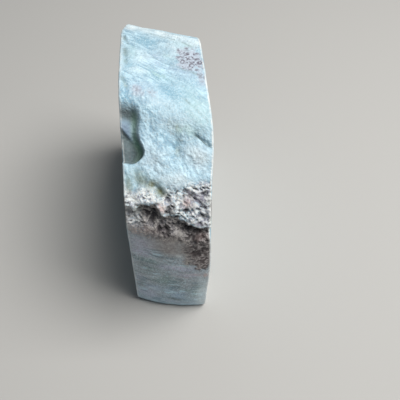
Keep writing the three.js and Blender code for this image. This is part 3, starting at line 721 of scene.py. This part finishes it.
# Chalky white, also used as painted light.
CHALK_AND_LIGHT = (0.84, 0.96, 1.0)
SUGAR = (0.60, 0.84, 0.96)
SHADE = (0.22, 0.392, 0.522)
BLUE = (0.25, 0.455, 0.575)
MINT = (0.41, 0.61, 0.60)
LILAC = (0.44, 0.575, 0.70)
OLIVE = (0.165, 0.178, 0.105)
GROOVE_LINE_AND_SHADE = (0.27, 0.38, 0.39)
SMUDGE = (0.13, 0.17, 0.18)

# The duller front wall.
DULL = (0.235, 0.27, 0.295)
DULL_PALE = (0.47, 0.50, 0.54)
WALL_BLUE = (0.36, 0.459, 0.605)
WALL_MINT = (0.23, 0.325, 0.305)
WALL_LILAC = (0.61, 0.588, 0.728)

# The matrix belt, its holes and the rings on the crown.
CREAM = (0.82, 0.83, 0.81)
COOL_CREAM = (0.50, 0.52, 0.60)
GREY = (0.385, 0.36, 0.36)
SPECK = (0.55, 0.52, 0.48)
SOIL = (0.315, 0.285, 0.275)
# Dark brown matrix, also laid on as painted shade under the crest, in the froth's cells and in the hollow.
DARK_SOIL_AND_SHADE = (0.10, 0.08, 0.085)
# Black matrix specks, also laid on as painted shade in pits, holes and the froth's lowest cells.
BLACK_SOIL_AND_SHADE = (0.035, 0.03, 0.035)
RUST = (0.62, 0.47, 0.44)
MAUVE = (0.235, 0.22, 0.275)
HOLE_GROUND = (0.10, 0.082, 0.082)
HOLE_ARC = (0.50, 0.46, 0.45)
RING_GROUND = (0.54, 0.58, 0.665)
RING = (0.175, 0.165, 0.205)

# The hollow in the left edge: an olive-grey stain, painted much darker as the hollow's shade.
HOLLOW_STAIN_AND_SHADE = (0.09, 0.12, 0.122)
HOLLOW_PALE = (0.085, 0.10, 0.10)
# A green lighter than the gully's own, as painted light in the shadow of the hollow's wall.
GULLY = (0.39, 0.61, 0.48)
LEDGE = (0.16, 0.22, 0.31)

# The sawn faces.
FACE_BLUE = (0.24, 0.50, 0.63)
FACE_DEEP = (0.11, 0.34, 0.50)
FACE_PALE = (0.42, 0.63, 0.72)
FACE_WHITE = (0.74, 0.82, 0.83)
FACE_GREEN = (0.33, 0.47, 0.42)

# A coat is a plain colour and then the layers over it. A layer is a colour or another coat, and the factors
# of its share: numbers, masks or textures by name, and eased steps of them as (name, from, to, value at from,
# value at to), which go from 0 to 1 where no values are given.
IN_CLOUD = ("cloud", 0.3, 1.3, 1.5, 0.8)  # tints are weaker where the stone is cloudy
ON_FROST = ("frost", 0.0, 1.0, 0.4, 1.15)
WALL_COAT = [DULL, (DULL_PALE, ("wisp", 0.3, 0.72))]
GREY_COAT = [
    GREY,
    (SPECK, ("medium", 0.6, 0.95, 0.0, 0.6)),
    (SOIL, ("medium", 0.6, 0.2)),
]
# The brown matrix. Its dark and black layers on the dark mask and on the froth's low values also paint shade,
# under the crest and in the froth's cells.
SOIL_COAT = [
    SOIL,
    (GREY, ("coarse", 0.35, 0.95)),
    (DARK_SOIL_AND_SHADE, ("medium", 0.45, 0.05, 0.0, 0.6)),
    (DARK_SOIL_AND_SHADE, "dark"),
    (BLACK_SOIL_AND_SHADE, ("fine", 0.42, 0.08, 0.0, 0.75)),
    (SPECK, ("fine", 0.58, 0.9, 0.0, 0.65)),
    (SPECK, ("froth", 0.46, 0.72, 0.0, 0.7)),
    (DARK_SOIL_AND_SHADE, "dark", 0.45),
    (BLACK_SOIL_AND_SHADE, ("froth", 0.3, 0.08, 0.0, 0.6)),
]
HOLE_COAT = [HOLE_GROUND, (HOLE_ARC, "ring", 0.9)]
CREAM_COAT = [CREAM, (COOL_CREAM, ("medium", 0.6, 0.1, 0.0, 0.9))]
# The hollow's olive-grey stain and painted shade, with darker mottling.
HOLLOW_COAT = [
    HOLLOW_STAIN_AND_SHADE,
    (HOLLOW_PALE, ("medium", 0.35, 0.9, 0.0, 0.8)),
    (DARK_SOIL_AND_SHADE, ("medium", 0.35, 0.0, 0.0, 0.5)),
]
RIM_COAT = [
    PALE,
    (WHITE, ("cloud", 0.6, 1.2)),
    (WALL_COAT, "dull"),
    (DULL_PALE, "dull", ("coarse", 0.55, 0.95, 0.0, 0.55)),
    (SMUDGE, "dull", ("coarse", 0.45, 0.05, 0.0, 0.4)),
    ([BLUE, (WALL_BLUE, "dull")], "blue", IN_CLOUD),
    ([MINT, (WALL_MINT, "dull")], "mint", IN_CLOUD),
    ([LILAC, (WALL_LILAC, "dull")], "lilac", IN_CLOUD),
    (SUGAR, ("fine", 0.5, 1.0, 0.0, 0.65)),
    (SHADE, ("fine", 0.5, 0.0, 0.0, 0.36)),
    (SUGAR, ("medium", 0.5, 1.0, 0.0, 0.6), ON_FROST),
    (SHADE, ("medium", 0.5, 0.0, 0.0, 0.45), ON_FROST),
    (SUGAR, ("streak", 0.58, 0.9, 0.0, 0.7)),
    (SHADE, ("streak", 0.42, 0.05, 0.0, 0.65)),
    (SMUDGE, "dull", ("streak", 0.4, 0.1, 0.0, 0.3)),
    (CHALK_AND_LIGHT, "dull", ("fine", 0.55, 0.9, 0.0, 0.2)),
    (SMUDGE, "dull", ("fine", 0.45, 0.1, 0.0, 0.25)),
    # grey smudges, and painted shade in the dip in the middle of the slope
    (SMUDGE, "smudge", ("coarse", 0.0, 0.6, 0.6, 1.0)),
    # chalky white, and painted light on the far crown, the slope and the wall's right edge
    (CHALK_AND_LIGHT, "chalk", ("coarse", 0.1, 0.7, 0.75, 1.0)),
    (GREY_COAT, "grey", 0.88),
    # grey-green and painted shade along the grooves
    (GROOVE_LINE_AND_SHADE, "line", ("coarse", 0.2, 0.8, 0.2, 0.7)),
    (SOIL_COAT, ("rough soil", 0.08, 0.8, 0.0, 0.95)),
    (HOLE_COAT, "holed", ("coarse", 0.1, 0.6, 0.7, 1.0)),
    # painted shade inside the open holes
    (BLACK_SOIL_AND_SHADE, "holes", 0.6),
    (RING_GROUND, "ringed", 0.75),
    (RING, "ringed", "ring", ("coarse", 0.1, 0.5, 0.6, 1.0)),
    (CREAM_COAT, "cream", ("fine", 0.1, 0.5, 0.35, 1.0)),
    (DARK_SOIL_AND_SHADE, "cream", ("medium", 0.32, 0.12, 0.0, 0.55), ("coarse", 0.7, 0.3, 0.2, 1.0)),
    (RUST, "rust", ("fine", 0.0, 0.6, 0.35, 1.0)),
    (MAUVE, "mauve", ("medium", 0.75, 0.3, 0.45, 1.0)),
    # the hollow's stain, darkened as painted shade
    (HOLLOW_COAT, "hollow", 0.9),
    # the gully's green, lightened as painted light in the wall's shadow
    (GULLY, "gully", ("medium", 0.1, 0.7, 0.85, 1.0)),
    (OLIVE, "olive", ("medium", 0.9, 0.2, 0.75, 1.0)),
    (LEDGE, "ledge", 0.85),
    # painted shade along the right crease
    (HOLLOW_STAIN_AND_SHADE, "creased", 0.95),
    # painted shade in the pits
    (BLACK_SOIL_AND_SHADE, "pit", ("froth", 0.3, 0.6, 0.85, 0.3)),
    # pale wear and a painted highlight along the edges
    (CREAM, "worn", ("coarse", 0.1, 0.6, 0.35, 1.0)),
]
SEAM_COAT = [SOIL, (DARK_SOIL_AND_SHADE, ("coarse", 0.3, 0.8)), (CREAM, ("fine", 0.55, 0.9, 0.0, 0.7))]
FACE_COAT = [
    FACE_DEEP,
    (FACE_BLUE, "large cloud"),
    (FACE_PALE, ("small cloud", 0.35, 0.95, 0.0, 0.7)),
    (FACE_WHITE, "small web", ("large cloud", 0.2, 0.9, 0.1, 0.5)),
    (FACE_WHITE, "large web", ("small cloud", 0.0, 0.8, 0.5, 0.95)),
    (FACE_GREEN, ("past seam", -0.001, 0.003, 0.7, 0.0)),
    (SEAM_COAT, ("past seam", -0.0012, 0.0006, 0.85, 0.0)),
]
SOIL_ROUGHNESS = 0.35  # how much the grain eats into and adds to the soil's mask
CLOUD_GRAIN = 0.5  # the coarse grain's part in the clouds of the rim

GRAINS_PER_METRE = 2400.0
RINGS_PER_METRE, RING_PUSH = 600.0, 0.0013
FACE_CELLS = {"large": (70.0, 0.012), "small": (190.0, 0.005)}  # cells per metre, how far noise pushes them
SEAM_HEIGHT, SEAM_SLOPE, SEAM_HALF = 46.0, -0.3, 4.5  # the matrix seam in the sawn faces, millimetres
SEAM_FROM, SEAM_TO = -40.0, 2.0  # Y where it has its full width, and where it ends
SEAM_WOBBLE = 2.5  # how far its borders stray
BUMP_STRENGTH, BUMP_DISTANCE, FACE_BUMP = 0.7, 0.00027, 0.15  # and the sawn faces' share of it
RIM_ROUGHNESS, FACE_ROUGHNESS = (0.62, 0.82), (0.34, 0.46)


def add(tree, kind, inputs=None, **settings):
    """A new shader node of a kind, with its settings, its unlinked values and its links."""
    node = tree.nodes.new("ShaderNode" + kind)
    for name, value in settings.items():
        setattr(node, name, value)
    for name, value in (inputs or {}).items():
        if isinstance(value, bpy.types.NodeSocket):
            tree.links.new(value, node.inputs[name])
        else:
            node.inputs[name].default_value = value
    return node


def group(name, inputs, outputs):
    """An empty node group with named sockets: its tree, its input node and its output node."""
    tree = bpy.data.node_groups.new(name, "ShaderNodeTree")
    for socket, kind in inputs.items():
        tree.interface.new_socket(socket, in_out="INPUT", socket_type=kind)
    for socket in outputs:
        tree.interface.new_socket(socket, in_out="OUTPUT", socket_type="NodeSocketFloat")
    return tree, tree.nodes.new("NodeGroupInput"), tree.nodes.new("NodeGroupOutput")


def ramp(tree, value, low, high, to_low=0.0, to_high=1.0):
    """A value eased from to_low at low to to_high at high."""
    inputs = {"Value": value, "From Min": low, "From Max": high, "To Min": to_low, "To Max": to_high}
    return add(tree, "MapRange", inputs, interpolation_type="SMOOTHSTEP").outputs["Result"]


def sums(tree, operation, first, second=0.0):
    """One arithmetic step on two values."""
    return add(tree, "Math", {0: first, 1: second}, operation=operation).outputs[0]


def pushed(tree, place, scale, detail, amount):
    """Places pushed about by coloured noise, by its distance from mid grey times an amount in metres."""
    push = add(tree, "TexNoise", {"Vector": place, "Scale": scale, "Detail": detail})
    centred = add(tree, "VectorMath", {0: push.outputs["Color"], 1: (0.5, 0.5, 0.5)}, operation="SUBTRACT")
    scaled = add(tree, "VectorMath", {0: centred.outputs[0], "Scale": amount}, operation="SCALE")
    return add(tree, "VectorMath", {0: place, 1: scaled.outputs[0]}).outputs[0]


def source(tree, name, textures):
    """A texture by its name, or else the mask of that name, which is read from the mesh once."""
    if name not in textures:
        textures[name] = add(tree, "Attribute", attribute_name=name).outputs["Fac"]
    return textures[name]


def layer_share(tree, factors, textures):
    """The product of a layer's factors."""
    product = None
    for factor in factors:
        if isinstance(factor, str):
            factor = source(tree, factor, textures)
        elif isinstance(factor, tuple):
            factor = ramp(tree, source(tree, factor[0], textures), *factor[1:])
        product = factor if product is None else sums(tree, "MULTIPLY", product, factor)
    return product


def over(tree, base, colour, share):
    """A colour laid over a base by a share, which the node keeps between 0 and 1."""
    return add(tree, "Mix", {0: share, 6: base, 7: colour}, data_type="RGBA").outputs[2]


def coated(tree, coat, textures):
    """The colour of a coat: its plain colour, then each layer over it by the product of the layer's
    factors."""
    colour = (*coat[0], 1.0)
    for layer, *factors in coat[1:]:
        top = coated(tree, layer, textures) if isinstance(layer, list) else (*layer, 1.0)
        colour = over(tree, colour, top, layer_share(tree, factors, textures))
    return colour


def grain_group():
    """Sugary grain: fine, medium and coarse noise from 0 to 1, and a height, which is the fine noise less
    the distance to the nearest of scattered crystals."""
    inputs = {"Vector": "NodeSocketVector", "Grains per metre": "NodeSocketFloat"}
    tree, start, end = group("sugar_grain", inputs, ["Fine", "Medium", "Coarse", "Height"])
    size = start.outputs["Grains per metre"]
    place = start.outputs["Vector"]
    grains = {}
    for name, share in {"Fine": 1.0, "Medium": 0.4, "Coarse": 0.15}.items():
        scale = sums(tree, "MULTIPLY", size, share)
        noise_inputs = {"Vector": place, "Scale": scale, "Detail": 2.5, "Roughness": 0.6}
        grains[name] = add(tree, "TexNoise", noise_inputs).outputs["Fac"]
        tree.links.new(ramp(tree, grains[name], 0.3, 0.7), end.inputs[name])
    crystal_scale = sums(tree, "MULTIPLY", size, 0.6)
    crystal = add(tree, "TexVoronoi", {"Vector": place, "Scale": crystal_scale}, feature="SMOOTH_F1")
    tree.links.new(sums(tree, "SUBTRACT", grains["Fine"], crystal.outputs["Distance"]), end.inputs["Height"])
    return tree


def cloud_group():
    """Blue cells with pale borders: cell edges of a lattice pushed about by noise, and soft clouds inside
    them. The borders' width follows the clouds."""
    inputs = {"Vector": "NodeSocketVector", "Cells per metre": "NodeSocketFloat", "Push": "NodeSocketFloat"}
    tree, start, end = group("larimar_cells", inputs, ["Web", "Cloud"])
    size = start.outputs["Cells per metre"]
    place = pushed(tree, start.outputs["Vector"], size, 3.0, start.outputs["Push"])
    border = add(tree, "TexVoronoi", {"Vector": place, "Scale": size}, feature="DISTANCE_TO_EDGE")
    cloud = add(tree, "TexNoise", {"Vector": place, "Scale": size, "Detail": 5.0, "Roughness": 0.62})
    soft = ramp(tree, cloud.outputs["Fac"], 0.3, 0.7)
    inner = sums(tree, "DIVIDE", border.outputs["Distance"], ramp(tree, soft, 0.1, 0.9, 0.06, 0.5))
    tree.links.new(ramp(tree, inner, 0.0, 1.0, 1.0, 0.0), end.inputs["Web"])
    tree.links.new(soft, end.inputs["Cloud"])
    return tree


def ring_group():
    """Rings round scattered centres, pushed about by noise: the band where the distance to the nearest
    centre is near 0.4 cells, with gaps where a finer noise is low."""
    inputs = {"Vector": "NodeSocketVector", "Rings per metre": "NodeSocketFloat"}
    tree, start, end = group("gas_rings", inputs, ["Ring"])
    size = start.outputs["Rings per metre"]
    place = pushed(tree, start.outputs["Vector"], size, 2.0, RING_PUSH)
    distance = add(tree, "TexVoronoi", {"Vector": place, "Scale": size}).outputs["Distance"]
    band = sums(tree, "MULTIPLY", ramp(tree, distance, 0.2, 0.36), ramp(tree, distance, 0.46, 0.62, 1.0, 0.0))
    gap_scale = sums(tree, "MULTIPLY", size, 1.6)
    gaps = add(tree, "TexNoise", {"Vector": place, "Scale": gap_scale, "Detail": 2.0}).outputs["Fac"]
    kept = ramp(tree, gaps, 0.38, 0.55, 0.2, 1.0)
    tree.links.new(sums(tree, "MULTIPLY", band, kept), end.inputs["Ring"])
    return tree


def past_seam(tree, place, wobble):
    """Distance out from the border of the sawn faces' matrix seam, in metres: the height over or under a
    line that falls towards the back, moved by the wobble, less the seam's half width, which shrinks along
    it."""
    axes = add(tree, "SeparateXYZ", {"Vector": place}).outputs
    line = {0: axes["Y"], 1: SEAM_SLOPE, 2: SEAM_HEIGHT * MM}
    middle = add(tree, "Math", line, operation="MULTIPLY_ADD").outputs[0]
    off = sums(tree, "ABSOLUTE", sums(tree, "SUBTRACT", axes["Z"], middle))
    off = sums(tree, "ADD", off, ramp(tree, wobble, 0.0, 1.0, -SEAM_WOBBLE * MM, SEAM_WOBBLE * MM))
    half = ramp(tree, axes["Y"], SEAM_FROM * MM, SEAM_TO * MM, SEAM_HALF * MM, 0.0)
    return sums(tree, "SUBTRACT", off, half)


def stone_finish(grain, cells, rings):
    """Larimar: the rim's broken surface and the sawn faces' cell pattern, joined by the sawn mask."""
    material = bpy.data.materials.new("larimar_stone")
    material.use_nodes = True
    tree = material.node_tree
    shader = tree.nodes["Principled BSDF"]
    place = add(tree, "TexCoord").outputs["Object"]
    grained = add(tree, "Group", {"Vector": place, "Grains per metre": GRAINS_PER_METRE}, node_tree=grain)
    ringed = add(tree, "Group", {"Vector": place, "Rings per metre": RINGS_PER_METRE}, node_tree=rings)
    textures = {name.lower(): grained.outputs[name] for name in ("Fine", "Medium", "Coarse")}
    textures["ring"] = ringed.outputs["Ring"]
    coarse = sums(tree, "MULTIPLY", textures["coarse"], CLOUD_GRAIN)
    textures["cloud"] = sums(tree, "ADD", source(tree, "wisp", textures), coarse)
    bite = ramp(tree, textures["fine"], 0.0, 1.0, -SOIL_ROUGHNESS, SOIL_ROUGHNESS)
    textures["rough soil"] = sums(tree, "ADD", source(tree, "soil", textures), bite)
    for name, (per_metre, push) in FACE_CELLS.items():
        inputs = {"Vector": place, "Cells per metre": per_metre, "Push": push}
        pattern = add(tree, "Group", inputs, node_tree=cells)
        textures[name + " web"] = pattern.outputs["Web"]
        textures[name + " cloud"] = pattern.outputs["Cloud"]
    textures["past seam"] = past_seam(tree, place, textures["small cloud"])

    sawn = source(tree, "sawn", textures)
    colour = over(tree, coated(tree, RIM_COAT, textures), coated(tree, FACE_COAT, textures), sawn)
    tree.links.new(colour, shader.inputs["Base Color"])
    rim_rough = ramp(tree, textures["coarse"], 0.0, 1.0, *RIM_ROUGHNESS)
    face_rough = ramp(tree, textures["fine"], 0.0, 1.0, *FACE_ROUGHNESS)
    rough = add(tree, "Mix", {0: sawn, 2: rim_rough, 3: face_rough}).outputs[0]
    tree.links.new(rough, shader.inputs["Roughness"])
    height = sums(tree, "MULTIPLY", grained.outputs["Height"], ramp(tree, sawn, 0.0, 1.0, 1.0, FACE_BUMP))
    bump_inputs = {"Height": height, "Strength": BUMP_STRENGTH, "Distance": BUMP_DISTANCE}
    bump = add(tree, "Bump", bump_inputs)
    tree.links.new(bump.outputs["Normal"], shader.inputs["Normal"])
    return material


stone.data.materials.append(stone_finish(grain_group(), cloud_group(), ring_group()))
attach(stone, "root")
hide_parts("larimar_slab")


# ---- Floor, light and camera ----
FLOOR_HALF, FLOOR_COLOUR, FLOOR_ROUGHNESS = 1.2, (0.5, 0.49, 0.47), 0.8
WINDOW_SIDE, WINDOW_AWAY, WINDOW_TOWARDS = 0.45, 0.75, (0.38, -0.08, 0.92)  # metres, and the way to it
WINDOW_COLOUR, WINDOW_POWER = (1.0, 0.99, 0.97), 6.6
ROOM_COLOUR, ROOM_STRENGTH = (0.85, 0.92, 1.0), 0.13
CAMERA_AT = (-3.26, -105.25, 157.2)  # millimetres
CAMERA_PITCH, CAMERA_YAW, CAMERA_ROLL = 54.0, 9.0, 4.4  # degrees down, to the right, and anticlockwise
FRAME_SIZE, FOCAL = 400.0, 460.0  # the frame's side and the focal length in the same unit


def floor():
    """A plain pale square at the height of the stone's base."""
    mesh = bpy.data.meshes.new("floor")
    side = FLOOR_HALF
    corners = [(-side, -side, 0), (side, -side, 0), (side, side, 0), (-side, side, 0)]
    mesh.from_pydata(corners, [], [(0, 1, 2, 3)])
    material = bpy.data.materials.new("pale_floor")
    material.use_nodes = True
    shader = material.node_tree.nodes["Principled BSDF"]
    shader.inputs["Base Color"].default_value = (*FLOOR_COLOUR, 1.0)
    shader.inputs["Roughness"].default_value = FLOOR_ROUGHNESS
    mesh.materials.append(material)
    plane = bpy.data.objects.new("floor", mesh)
    bpy.context.scene.collection.objects.link(plane)


def window_light():
    """One soft square light over the stone, a little to the right, and the room's faint light all round."""
    light = bpy.data.lights.new("window", "AREA")
    light.shape = "RECTANGLE"
    light.size, light.size_y = WINDOW_SIDE, WINDOW_SIDE
    light.energy = WINDOW_POWER
    light.color = WINDOW_COLOUR
    lamp = bpy.data.objects.new("window", light)
    direction = Vector(WINDOW_TOWARDS).normalized()
    lamp.location = direction * WINDOW_AWAY
    lamp.rotation_euler = direction.to_track_quat("Z", "Y").to_euler()
    bpy.context.scene.collection.objects.link(lamp)
    world = bpy.data.worlds.new("room")
    world.use_nodes = True
    background = world.node_tree.nodes["Background"]
    background.inputs["Color"].default_value = (*ROOM_COLOUR, 1.0)
    background.inputs["Strength"].default_value = ROOM_STRENGTH
    bpy.context.scene.world = world


def camera():
    """A camera in front of the stone and above it, turned by yaw, pitch and roll."""
    data = bpy.data.cameras.new("camera")
    data.sensor_width = 36.0
    data.lens = data.sensor_width * FOCAL / FRAME_SIZE
    data.clip_start = 0.01
    cam = bpy.data.objects.new("camera", data)
    turn = Matrix.Rotation(math.radians(-CAMERA_YAW), 4, "Z")
    tip = Matrix.Rotation(math.radians(90.0 - CAMERA_PITCH), 4, "X")
    roll = Matrix.Rotation(math.radians(CAMERA_ROLL), 4, "Z")
    cam.matrix_world = Matrix.Translation(Vector(CAMERA_AT) * MM) @ turn @ tip @ roll
    bpy.context.scene.collection.objects.link(cam)
    bpy.context.scene.camera = cam


floor()
window_light()
camera()
bpy.context.scene.view_settings.view_transform = "Standard"
